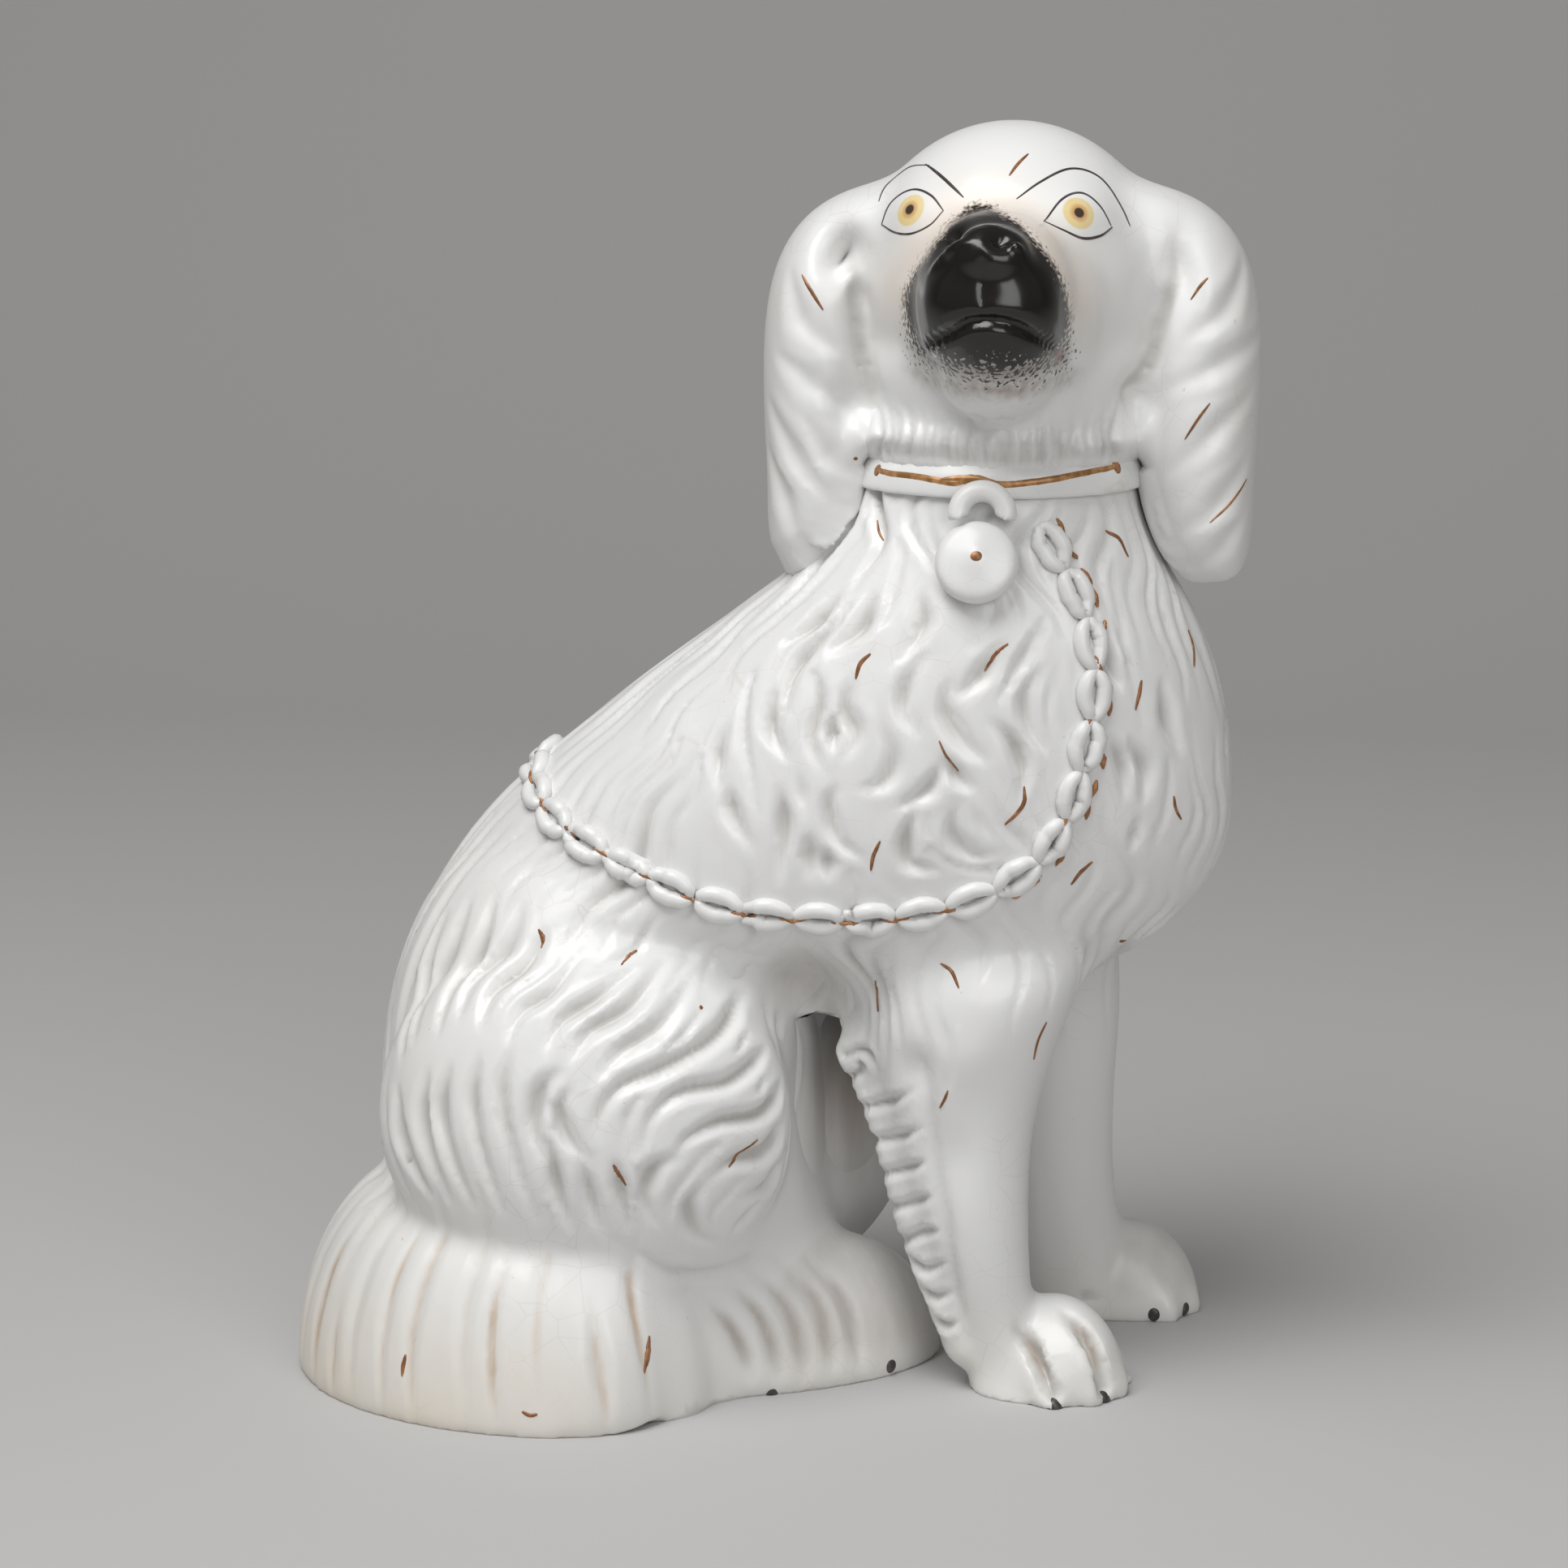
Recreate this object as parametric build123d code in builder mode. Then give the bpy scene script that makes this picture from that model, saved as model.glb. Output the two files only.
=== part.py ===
"""Seated spaniel mantelpiece figure in press-moulded earthenware, hollow, luted from separate pressings.

Frame: +Z up from the table, +X from the tail towards the chest, -Y towards the side that is shown.
Left and right are the animal's own. Its head is turned to look along -Y. Lengths are millimetres.
"""

from build123d import *
import math
import os
from collections import namedtuple

# A horizontal slice of the trunk, head or a limb: its height, and how far it reaches to the rear,
# the front, the near side and the far side.
Slice = namedtuple("Slice", "height rear front near far")

# Clay wall, luted joints and the depth at which the two halves of the mould part
wall = 5.0
joint_gap = 0.2
parting_depth = 12.0

# Trunk, from the belly up to the throat
belly = Slice(99, -64, 60, -16, 50)
brisket = Slice(112, -98, 88, -31, 62)
flank = Slice(130, -93, 109, -37, 68)
chest = Slice(155, -73, 117, -40, 70)
withers = Slice(182, -41, 114, -38, 66)
shoulder = Slice(206, -9, 105, -33, 57)
nape = Slice(226, 13, 94, -27, 48)
neck = Slice(243, 20, 91, -24, 46)
throat = Slice(262, 23, 92, -22, 45)

# Hindquarters, from the table up into the trunk
seat = Slice(0, -99, 12, -36, 62)
hock = Slice(32, -106, 14, -40, 66)
rump = Slice(64, -109, 12, -46, 68)
croup = Slice(95, -107, 10, -46, 66)
loin = Slice(138, -86, 0, -28, 50)
right_thigh_centre = (-49, -24, 74)
right_thigh_reach = (55, 37, 50)
left_thigh_centre = (-30, 36, 62)
left_thigh_reach = (63, 36, 56)

# Head, turned to the near side
skull_centre = (58, 12, 289)
skull_reach = (40, 41, 41)
jaw_centre = (58, 9, 267)
jaw_reach = (38, 36, 28)
muzzle_bridge_centre = (57, -10, 284)
muzzle_bridge_reach = (27, 34, 27)
muzzle_ball_centre = (56, -34, 287)
muzzle_ball_reach = (20, 28, 23)
chin_centre = (56.5, -26, 270)
chin_reach = (16, 24, 13)
nose_centre = (56, -54, 300)
nose_reach = (10, 9, 8)

# Right ear, from its root down to its tip. The left one is its mirror image in the head's middle.
head_middle = 58.0
ear_root = Slice(313, 20, 42, 0, 32)
ear_shoulder = Slice(301, 1, 34, -8, 36)
ear_bell = Slice(278, -6, 25, -11, 36)
ear_lobe = Slice(252, -6, 25, -12, 33)
ear_fold = Slice(230, -4, 20, -9, 27)
ear_tip = Slice(214, 0, 8, 1, 15)

# Right foreleg, from inside the shoulder down to the sole
right_arm = Slice(121, 36, 76, -20, 8)
right_elbow = Slice(104, 19, 77, -36, 10)
right_forearm = Slice(88, 21, 71, -34, 7)
right_shin = Slice(62, 30, 66, -31, 2)
right_wrist = Slice(38, 39, 66, -29, 0)
right_sole = Slice(0, 50, 82, -28, 1)
right_paw_centre = (73, -11)
right_paw_turn = -38.0

# Left foreleg
left_arm = Slice(120, 52, 84, 40, 64)
left_elbow = Slice(102, 49, 87, 40, 74)
left_shin = Slice(70, 52, 86, 43, 74)
left_wrist = Slice(38, 54, 86, 44, 73)
left_sole = Slice(0, 60, 94, 45, 74)
left_paw_centre = (90, 63)
left_paw_turn = 4.0

# Paws and toes
paw_reach = (20, 17, 25)
toe_reach = (10.5, 6, 12)
toe_count = 4
toe_fan = 105.0
toe_distance = 11.0

# Feathering down the back of the right foreleg, with a scroll at its head
feather_top = (21, -14, 84)
feather_foot = (50, -14, 12)
feather_reach = (7, 8, 6)
feather_count = 9
scroll_centre = (20, -16, 90)
scroll_radius = 5.0
scroll_wire = 3.6

# Right hind paw, lying in front of the thigh
hind_paw_centre = (5, -3)
hind_paw_reach = (42, 20, 40)
hind_paw_turn = 36.0

# Tail, curled round the haunch on the table
tail_middle = (-53, 1)
tail_inner_reach = (44, 35)
tail_outer_reach = (78, 70)
tail_start = 120.0
tail_end = 304.0
tail_height = 55.0
tail_sections = 11
tail_end_round = 8

# Collar strap
collar_low = 236.0
collar_high = 250.0
collar_proud = 2.2

# Padlock on the chest
lock_place = (53, 221)
lock_width = 25.0
lock_height = 23.0
lock_corner = 9.0
lock_thickness = 9.5
lock_sink = 2.5
lock_edge = 2.0
shackle_radius = 6.0
shackle_wire = 2.2
shackle_lift = 4.7
keyhole_radius = 1.6
keyhole_slit = 5.0
keyhole_depth = 2.0

# Chain laid round the trunk: turn about the trunk's middle in degrees and height, from the lock to the back
chain_turns = [(-41, 230), (-35, 206), (-38, 170), (-44, 147), (-56, 136), (-85, 130),
               (-128, 134), (-142, 142), (-154, 149), (-167, 157), (-186, 163)]
link_count = 21
link_gap = 0.9
link_width = 9.6
link_wire = 3.3
link_draft = 12.0

# Slab that closes the seat, with its firing vent
slab_thickness = 6.0
vent_radius = 5.0
vent_place = (-35, 10)


def slice_middle(cut):
    """Plan centre of a slice."""
    return ((cut.rear + cut.front) / 2, (cut.near + cut.far) / 2)


def oval_line(cut, grow=0.0, corners=12):
    """A slice's outline: a closed smooth oval, always begun at its front, made larger all round by grow."""
    middle_x, middle_y = slice_middle(cut)
    reach_x = (cut.front - cut.rear) / 2 + grow
    reach_y = (cut.far - cut.near) / 2 + grow
    turns = [2 * math.pi * corner / corners for corner in range(corners)]
    points = [(middle_x + reach_x * math.cos(turn), middle_y + reach_y * math.sin(turn)) for turn in turns]
    return Spline(*points, periodic=True)


def stack(slices, grow=0.0):
    """A loft through horizontal slices, each made larger all round by grow."""
    with BuildPart() as made:
        for cut in slices:
            with BuildSketch(Plane.XY.offset(cut.height)):
                with BuildLine():
                    oval_line(cut, grow)
                make_face()
        loft()
    return made.part


def ellipsoid(centre, reach, turn=0.0):
    """A ball drawn out to three half-lengths and turned about the vertical."""
    ball = scale(Sphere(1, mode=Mode.PRIVATE), by=reach, mode=Mode.PRIVATE)
    return Pos(*centre) * Rot(0, 0, turn) * ball


def shrunk(reach):
    """Half-lengths of the cavity inside an ellipsoid of clay."""
    return tuple(length - wall for length in reach)


def paw(centre, turn):
    """A rounded paw on the table with a fan of toes."""
    pieces = [ellipsoid((centre[0], centre[1], 0), paw_reach, turn)]
    for toe in range(toe_count):
        angle = turn + toe_fan * (toe / (toe_count - 1) - 0.5)
        toe_x = centre[0] + toe_distance * math.cos(math.radians(angle))
        toe_y = centre[1] + toe_distance * math.sin(math.radians(angle))
        pieces.append(ellipsoid((toe_x, toe_y, 0), toe_reach, angle))
    return pieces


# Trunk and hindquarters: the outer form, its cavity, and the two pressed halves
trunk_slices = [belly, brisket, flank, chest, withers, shoulder, nape, neck, throat]
rear_slices = [seat, hock, rump, croup, loin]
trunk = stack(trunk_slices)
trunk_cavity = stack(trunk_slices, -wall)
table = Plane.XY
neck_joint = Plane.XY.offset(neck.height)
parting = Plane.XZ.offset(-parting_depth)

with BuildPart() as body_form:
    add(trunk)
    add(stack(rear_slices))
    add(ellipsoid(right_thigh_centre, right_thigh_reach))
    add(ellipsoid(left_thigh_centre, left_thigh_reach))
    split(bisect_by=neck_joint, keep=Keep.BOTTOM)

with BuildPart() as body_shell:
    add(body_form.part)
    add(trunk_cavity, mode=Mode.SUBTRACT)
    add(stack(rear_slices, -wall), mode=Mode.SUBTRACT)
    add(ellipsoid(right_thigh_centre, shrunk(right_thigh_reach)), mode=Mode.SUBTRACT)
    add(ellipsoid(left_thigh_centre, shrunk(left_thigh_reach)), mode=Mode.SUBTRACT)

with BuildPart() as front_body_shell:
    add(body_shell.part)
    split(bisect_by=parting, keep=Keep.TOP)

with BuildPart() as back_body_shell:
    add(body_shell.part)
    split(bisect_by=parting, keep=Keep.BOTTOM)

# Head: neck stub, skull, jaw and muzzle in one form, pressed as a face and a back
with BuildPart() as head_form:
    add(trunk)
    split(bisect_by=neck_joint, keep=Keep.TOP)
    add(ellipsoid(skull_centre, skull_reach))
    add(ellipsoid(jaw_centre, jaw_reach))
    add(ellipsoid(muzzle_bridge_centre, muzzle_bridge_reach))
    add(ellipsoid(muzzle_ball_centre, muzzle_ball_reach))
    add(ellipsoid(chin_centre, chin_reach))
    add(ellipsoid(nose_centre, nose_reach))
    split(bisect_by=neck_joint, keep=Keep.TOP)

with BuildPart() as head_shell:
    add(head_form.part)
    add(trunk_cavity, mode=Mode.SUBTRACT)
    add(ellipsoid(skull_centre, shrunk(skull_reach)), mode=Mode.SUBTRACT)
    add(ellipsoid(muzzle_bridge_centre, shrunk(muzzle_bridge_reach)), mode=Mode.SUBTRACT)

with BuildPart() as face_shell:
    add(head_shell.part)
    split(bisect_by=parting, keep=Keep.TOP)

with BuildPart() as back_head_shell:
    add(head_shell.part)
    split(bisect_by=parting, keep=Keep.BOTTOM)

# Collar strap, moulded over the neck joint
with BuildPart() as collar:
    add(stack(trunk_slices, collar_proud))
    split(bisect_by=Plane.XY.offset(collar_low), keep=Keep.TOP)
    split(bisect_by=Plane.XY.offset(collar_high), keep=Keep.BOTTOM)
    add(trunk, mode=Mode.SUBTRACT)
    add(head_form.part, mode=Mode.SUBTRACT)

# Ears, hung on the sides of the head
ear_slices = [ear_root, ear_shoulder, ear_bell, ear_lobe, ear_fold, ear_tip]

with BuildPart() as right_ear:
    add(stack(ear_slices))
    add(head_form.part, mode=Mode.SUBTRACT)
    add(body_form.part, mode=Mode.SUBTRACT)
    add(collar.part, mode=Mode.SUBTRACT)

with BuildPart() as left_ear:
    add(stack(ear_slices).mirror(Plane.YZ.offset(head_middle)))
    add(head_form.part, mode=Mode.SUBTRACT)
    add(body_form.part, mode=Mode.SUBTRACT)
    add(collar.part, mode=Mode.SUBTRACT)

# Forelegs, moulded by themselves and luted under the shoulders
with BuildPart() as right_foreleg:
    add(stack([right_arm, right_elbow, right_forearm, right_shin, right_wrist, right_sole]))
    for piece in paw(right_paw_centre, right_paw_turn):
        add(piece)
    for lobe in range(feather_count):
        share = lobe / (feather_count - 1)
        lobe_centre = [a + (b - a) * share for a, b in zip(feather_top, feather_foot)]
        add(ellipsoid(lobe_centre, feather_reach))
    with Locations(Location(scroll_centre, (90, 0, 0))):
        Torus(scroll_radius, scroll_wire)
    split(bisect_by=table, keep=Keep.TOP)
    add(body_form.part, mode=Mode.SUBTRACT)

with BuildPart() as left_foreleg:
    add(stack([left_arm, left_elbow, left_shin, left_wrist, left_sole]))
    for piece in paw(left_paw_centre, left_paw_turn):
        add(piece)
    split(bisect_by=table, keep=Keep.TOP)
    add(body_form.part, mode=Mode.SUBTRACT)

# Tail: a quarter-round of clay that follows the haunch, rounded off at both ends
with BuildPart() as tail:
    for section in range(tail_sections):
        share = (section + 0.3) / (tail_sections - 0.4)
        fullness = math.sqrt(1 - abs(2 * share - 1) ** tail_end_round)
        angle = math.radians(tail_start + (tail_end - tail_start) * share)
        inner = Vector(tail_middle[0] + tail_inner_reach[0] * math.cos(angle),
                       tail_middle[1] + tail_inner_reach[1] * math.sin(angle))
        outer = Vector(tail_middle[0] + tail_outer_reach[0] * math.cos(angle),
                       tail_middle[1] + tail_outer_reach[1] * math.sin(angle))
        outward = (outer - inner).normalized()
        width = (outer - inner).length * fullness
        height = tail_height * fullness
        with BuildSketch(Plane(inner, x_dir=outward, z_dir=outward.cross(Vector(0, 0, 1)))):
            with BuildLine():
                Line((0, 0), (width, 0))
                EllipticalCenterArc((0, 0), width, height, start_angle=0, arc_size=90)
                Line((0, height), (0, 0))
            make_face()
    loft()
    add(body_form.part, mode=Mode.SUBTRACT)

# Right hind paw
with BuildPart() as right_hind_paw:
    add(ellipsoid((*hind_paw_centre, 0), hind_paw_reach, hind_paw_turn))
    split(bisect_by=table, keep=Keep.TOP)
    add(body_form.part, mode=Mode.SUBTRACT)
    add(tail.part, mode=Mode.SUBTRACT)
    add(right_foreleg.part, mode=Mode.SUBTRACT)

# Slab under the seat
with BuildPart() as base_slab:
    with BuildSketch():
        with BuildLine():
            oval_line(seat, -wall - joint_gap)
        make_face()
    extrude(amount=slab_thickness)
    with Locations((*vent_place, slab_thickness)):
        Hole(vent_radius)


def surface_towards(height, outward):
    """The body's outside met from the chest's middle line: the point, and the way it faces."""
    met = body_form.part.find_intersection_points(Axis((*slice_middle(chest), height), tuple(outward)))
    return max(met, key=lambda hit: hit[0].dot(outward))


def chest_point(turn, height):
    """The body's outside at a turn about the chest's middle line and a height."""
    return surface_towards(height, Vector(math.cos(math.radians(turn)), math.sin(math.radians(turn)), 0))


def trunk_seat(near_to):
    """The body's outside level with a point and straight out through it."""
    middle_x, middle_y = slice_middle(chest)
    return surface_towards(near_to.Z, Vector(near_to.X - middle_x, near_to.Y - middle_y, 0).normalized())


# Padlock: a rounded case with a keyhole, and its shackle
lock_point, lock_facing = min(
    body_form.part.find_intersection_points(Axis((lock_place[0], 0, lock_place[1]), (0, -1, 0))),
    key=lambda hit: hit[0].Y,
)
lock_level = Vector(0, 0, 1).cross(lock_facing)
lock_back = Plane(lock_point - lock_facing * lock_sink, x_dir=lock_level, z_dir=lock_facing)
lock_front = lock_back.offset(lock_thickness)

with BuildPart() as padlock_case:
    with BuildSketch(lock_back):
        RectangleRounded(lock_width, lock_height, lock_corner)
    extrude(amount=lock_thickness)
    fillet(padlock_case.faces().filter_by(lock_front).edges(), lock_edge)
    with BuildSketch(lock_front):
        Circle(keyhole_radius)
        with Locations((0, -keyhole_slit / 2)):
            Rectangle(keyhole_radius, keyhole_slit)
    extrude(amount=-keyhole_depth, mode=Mode.SUBTRACT)
    add(body_form.part, mode=Mode.SUBTRACT)

with BuildPart() as padlock_shackle:
    with Locations(lock_back.offset(lock_sink + shackle_lift) * Location((0, lock_height / 2, 0))):
        Torus(shackle_radius, shackle_wire)
    add(padlock_case.part, mode=Mode.SUBTRACT)
    add(body_form.part, mode=Mode.SUBTRACT)
    add(collar.part, mode=Mode.SUBTRACT)

# Chain: open oval links laid end to end on the trunk
with BuildPart() as chain_links:
    with BuildLine(mode=Mode.PRIVATE) as chain_path:
        Spline(*[chest_point(turn, height)[0] for turn, height in chain_turns])
    joints = [chain_path.line @ (link / link_count) for link in range(link_count + 1)]
    for start, end in zip(joints, joints[1:]):
        seat_point, outward = trunk_seat((start + end) / 2)
        along = (end - start) - outward * (end - start).dot(outward)
        link_length = along.length - link_gap
        with BuildSketch(Plane(seat_point, x_dir=along, z_dir=outward)):
            SlotOverall(link_length, link_width)
            SlotOverall(link_length - 2 * link_wire, link_width - 2 * link_wire, mode=Mode.SUBTRACT)
        extrude(amount=link_wire, taper=link_draft)
    add(body_form.part, mode=Mode.SUBTRACT)
    add(padlock_case.part, mode=Mode.SUBTRACT)

os.makedirs("parts", exist_ok=True)

front_body_shell.part.label = "front_body_shell"
back_body_shell.part.label = "back_body_shell"
face_shell.part.label = "face_shell"
back_head_shell.part.label = "back_head_shell"
right_ear.part.label = "right_ear"
left_ear.part.label = "left_ear"
right_foreleg.part.label = "right_foreleg"
left_foreleg.part.label = "left_foreleg"
right_hind_paw.part.label = "right_hind_paw"
tail.part.label = "tail"
base_slab.part.label = "base_slab"
collar.part.label = "collar"
padlock_case.part.label = "padlock_case"
padlock_shackle.part.label = "padlock_shackle"
chain_links.part.label = "chain_links"

export_step(front_body_shell.part, "parts/front_body_shell.step")
export_step(back_body_shell.part, "parts/back_body_shell.step")
export_step(face_shell.part, "parts/face_shell.step")
export_step(back_head_shell.part, "parts/back_head_shell.step")
export_step(right_ear.part, "parts/right_ear.step")
export_step(left_ear.part, "parts/left_ear.step")
export_step(right_foreleg.part, "parts/right_foreleg.step")
export_step(left_foreleg.part, "parts/left_foreleg.step")
export_step(right_hind_paw.part, "parts/right_hind_paw.step")
export_step(tail.part, "parts/tail.step")
export_step(base_slab.part, "parts/base_slab.step")
export_step(collar.part, "parts/collar.step")
export_step(padlock_case.part, "parts/padlock_case.step")
export_step(padlock_shackle.part, "parts/padlock_shackle.step")
export_step(chain_links.part, "parts/chain_links.step")
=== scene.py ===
import math
import random

import bmesh
import bpy
import numpy as np
from mathutils import Matrix, Vector
from mathutils.bvhtree import BVHTree


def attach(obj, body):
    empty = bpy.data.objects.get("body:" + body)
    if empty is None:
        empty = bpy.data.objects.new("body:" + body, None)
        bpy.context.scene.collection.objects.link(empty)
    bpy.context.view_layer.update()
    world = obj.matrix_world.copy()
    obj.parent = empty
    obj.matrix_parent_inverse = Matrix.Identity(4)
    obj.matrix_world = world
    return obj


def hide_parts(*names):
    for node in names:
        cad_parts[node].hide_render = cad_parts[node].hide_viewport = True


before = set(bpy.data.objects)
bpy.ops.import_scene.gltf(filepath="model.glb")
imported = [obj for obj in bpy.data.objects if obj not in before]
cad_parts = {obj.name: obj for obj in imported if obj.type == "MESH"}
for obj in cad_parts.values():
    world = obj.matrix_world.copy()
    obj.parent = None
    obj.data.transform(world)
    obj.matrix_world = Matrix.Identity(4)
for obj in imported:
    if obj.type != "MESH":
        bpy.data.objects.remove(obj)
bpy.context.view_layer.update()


# Body: the hollow trunk with its haunches, both forelegs, the hind paw and the tail, press-moulded in
# white earthenware. The pressings are luted with slip, so the clay runs from one into the next, and
# the coat of wavy locks is part of the mould.
MM = 0.001


def outer_shell(mesh):
    """Keeps the skin that holds the highest point, and drops the walls of the hollow inside."""
    work = bmesh.new()
    work.from_mesh(mesh)
    start = max(work.verts, key=lambda point: point.co.z)
    reached = {start}
    waiting = [start]
    while waiting:
        point = waiting.pop()
        for edge in point.link_edges:
            other = edge.other_vert(point)
            if other not in reached:
                reached.add(other)
                waiting.append(other)
    bmesh.ops.delete(work, geom=[point for point in work.verts if point not in reached], context="VERTS")
    work.to_mesh(mesh)
    work.free()
    return mesh


def smooth_steps(points, count):
    """Points stepped along a smooth line through given points."""
    points = np.asarray(points, float)
    ends = np.vstack([2 * points[0] - points[1], points, 2 * points[-1] - points[-2]])
    steps = np.linspace(0, len(points) - 1.000001, count)
    whole = steps.astype(int)
    t = (steps - whole)[:, None]
    a, b, c, d = (ends[whole + corner] for corner in range(4))
    return 0.5 * (2 * b + (c - a) * t + (2 * a - 5 * b + 4 * c - d) * t**2 + (3 * b - a - 3 * c + d) * t**3)


most_triangles = 190000


class Clay:
    """One skin over several pressings, worked by moving its points. Lengths are millimetres."""

    def __init__(self, name, nodes, grain, slip=()):
        pressed = bmesh.new()
        for node in nodes:
            pressed.from_mesh(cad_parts[node].data)
        for middle, reach in slip:
            place = Matrix.Translation(Vector(middle) * MM) @ Matrix.Diagonal((*(Vector(reach) * MM), 1))
            bmesh.ops.create_icosphere(pressed, subdivisions=4, radius=1, matrix=place)
        bmesh.ops.remove_doubles(pressed, verts=pressed.verts, dist=0.001 * MM)
        mesh = bpy.data.meshes.new(name)
        pressed.to_mesh(mesh)
        pressed.free()
        self.piece = bpy.data.objects.new(name, mesh)
        bpy.context.collection.objects.link(self.piece)
        skin = self.piece.modifiers.new("skin", "REMESH")
        skin.mode = "VOXEL"
        skin.voxel_size = grain * MM
        remeshed = self.piece.evaluated_get(bpy.context.evaluated_depsgraph_get())
        whole = bpy.data.meshes.new_from_object(remeshed)
        self.piece.modifiers.clear()
        self.piece.data = outer_shell(whole)
        mesh = self.piece.data
        self.at = np.empty(len(mesh.vertices) * 3)
        mesh.vertices.foreach_get("co", self.at)
        self.at = self.at.reshape(-1, 3) / MM
        self.edges = np.empty(len(mesh.edges) * 2, int)
        mesh.edges.foreach_get("vertices", self.edges)
        self.edges = self.edges.reshape(-1, 2)
        self.quads = np.array([face.vertices[:] for face in mesh.polygons if len(face.vertices) == 4])
        self.ways = np.bincount(self.edges.ravel(), minlength=len(self.at))[:, None]
        self.values = {"groove": np.zeros(len(self.at))}
        print("SIZE", name, len(mesh.vertices), "points", len(mesh.polygons) - len(self.quads), "odd faces")

    def around(self, values):
        """Mean of the neighbouring points' values."""
        a, b = self.edges.T
        count = len(self.at)
        sums = [np.bincount(a, column[b], count) + np.bincount(b, column[a], count) for column in values.T]
        return np.stack(sums, 1) / self.ways

    def facing(self):
        """Which way the skin faces at each point."""
        a, b, c, d = (self.at[self.quads[:, corner]] for corner in range(4))
        turned = np.cross(c - a, d - b)
        corners = self.quads.ravel()
        out = np.stack([np.bincount(corners, np.repeat(column, 4), len(self.at)) for column in turned.T], 1)
        return out / np.maximum(np.linalg.norm(out, axis=1, keepdims=True), 1e-9)

    def smooth(self, times, share=1.0):
        """Rubs the skin down, all over or by a share for each point, and keeps the foot on the table."""
        share = np.broadcast_to(np.asarray(share, float), len(self.at))[:, None]
        for _ in range(times):
            rub = 0.5 * share * (self.around(self.at) - self.at)
            rub[:, 2] *= np.clip(self.at[:, 2] / 5, 0, 1)
            self.at += rub

    def fill(self, times, share=1.0):
        """Fills inside corners with slip, and leaves what stands out."""
        share = np.broadcast_to(np.asarray(share, float), len(self.at))
        for turn in range(times):
            if turn % 5 == 0:
                out = self.facing()
            rise = ((self.around(self.at) - self.at) * out).sum(1)
            self.at += out * (0.7 * share * np.clip(rise, 0, None))[:, None]

    def settle(self):
        """Takes the present skin as the one that tools are laid on, none of it under the table."""
        self.at[:, 2] = np.maximum(self.at[:, 2], 0)
        self.skin = BVHTree.FromPolygons(self.at.tolist(), self.quads.tolist())
        self.out = self.facing()
        self.relief = np.zeros(len(self.at))

    def press(self):
        """Moves the skin out or in by the relief that was tooled since it settled."""
        self.at += self.out * self.relief[:, None]
        self.settle()

    def near(self, line, reach):
        """Points within reach of a line: which ones, how far off, and the share of the line there."""
        low = line.min(0) - reach
        high = line.max(0) + reach
        which = np.nonzero(((self.at > low) & (self.at < high)).all(1))[0]
        gaps = np.linalg.norm(self.at[which][:, None] - line[None], axis=2)
        nearest = gaps.argmin(1)
        gap = gaps[np.arange(len(which)), nearest]
        close = gap < reach
        return which[close], gap[close], nearest[close] / (len(line) - 1)

    def laid(self, line):
        """A line put down on the skin."""
        return np.array([self.skin.find_nearest(Vector(point))[0] for point in line])

    def groove(self, line, width, depth, taper=1.0, edge=0.2):
        """Cuts a rounded groove along a line, narrow and shallow at both ends, with slightly raised edges."""
        which, gap, share = self.near(line, 3.4 * width)
        first, last = taper if isinstance(taper, tuple) else (taper / 2, taper / 2)
        ends = np.clip(np.minimum((share + 0.02) / first, (1.02 - share) / last), 0, 1)
        wide = width * (0.5 + 0.5 * ends)
        cut = np.exp(-((gap / wide) ** 2)) - edge * np.exp(-(((gap - 2 * wide) / wide) ** 2))
        cut *= -depth * ends**0.8
        held = self.relief[which]
        self.relief[which] = np.where(np.abs(cut) > np.abs(held), cut, held)
        # The groove depth is kept for the painted shade that the glaze lays in the grooves.
        self.values["groove"][which] = np.maximum(self.values["groove"][which], np.clip(-cut, 0, None))

    def lump(self, middle, reach, height):
        """Raises a soft round lump, or presses a hollow where the height is below nought."""
        gap = (self.at - np.asarray(middle)) / np.asarray(reach)
        self.relief += height * np.exp(-(gap**2).sum(1))

    def stain(self, name, line, width, strength):
        """Lays a soft-edged wash of colour along a line."""
        wash_and_shade = self.values.setdefault(name, np.zeros(len(self.at)))
        which, gap, share = self.near(line, 3 * width)
        ends = np.clip(np.minimum(share, 1 - share) / 0.35, 0.1, 1)
        wash_and_shade[which] = np.maximum(wash_and_shade[which], strength * ends * np.exp(-((gap / width) ** 2)))

    def meet(self, other, reach, below):
        """Closes a narrow gap to another skin, as slip does where two pressings are luted."""
        for index in np.nonzero(self.at[:, 2] < below)[0]:
            foot, out, _, gap = other.skin.find_nearest(Vector(self.at[index]), reach)
            if foot is not None:
                self.at[index] += (np.array(foot - 0.6 * out) - self.at[index]) * (1 - gap / reach)

    def write(self):
        """Puts the worked skin into the piece, with its values for the glaze."""
        mesh = self.piece.data
        mesh.vertices.foreach_set("co", (self.at * MM).ravel())
        for name, values in self.values.items():
            mesh.attributes.new(name, "FLOAT", "POINT").data.foreach_set("value", values)
        mesh.update()
        triangles = 2 * len(mesh.polygons)
        if triangles > most_triangles:
            thinner = self.piece.modifiers.new("thinner", "DECIMATE")
            thinner.ratio = most_triangles / triangles
            graph = bpy.context.evaluated_depsgraph_get()
            mesh = bpy.data.meshes.new_from_object(self.piece.evaluated_get(graph), preserve_all_data_layers=True,
                                                   depsgraph=graph)
            self.piece.modifiers.remove(thinner)
            self.piece.data = mesh
            for point in mesh.vertices:
                point.co.z = max(point.co.z, 0)
        mesh.shade_smooth()
        print("FACES", self.piece.name, triangles, len(mesh.polygons), [a.name for a in mesh.attributes])
        return self.piece


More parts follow.
